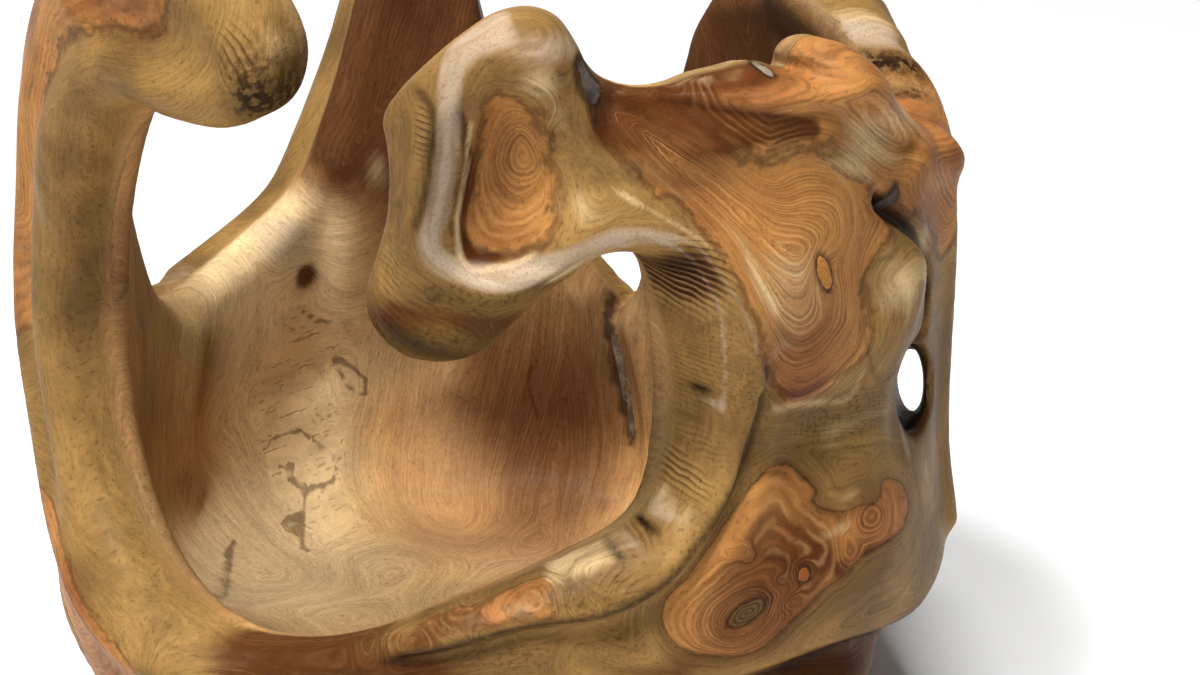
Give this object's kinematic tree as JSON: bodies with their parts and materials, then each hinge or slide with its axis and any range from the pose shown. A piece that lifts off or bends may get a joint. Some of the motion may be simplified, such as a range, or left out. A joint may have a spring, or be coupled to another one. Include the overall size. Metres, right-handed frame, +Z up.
{
  "type": "root bowl",
  "caption": "Deep free-form bowl carved from a tree root, with an open C in its front wall, a hooked crest, rising fingers of rim and stubby root feet; holds fruit or stands as decoration.",
  "frame": {"origin": "on the floor under the middle of the bowl's box", "axes": "+X to the right of someone who faces the open C, +Y away from them, +Z up"},
  "size_m": [0.4478, 0.4346, 0.4373],
  "materials": {
    "teak": "satin",
    "putty": "matte",
    "knot": "satin"
  },
  "bodies": {
    "root": {"root_bowl": "teak", "hook_crack_filling": "putty", "crest_crack_filling": "putty", "shoulder_crack_filling": "putty", "wall_crack_filling": "putty", "pin_knot": "knot", "swirl_knot": "knot", "burl_pin_knot": "knot"}
  },
  "joints": []
}
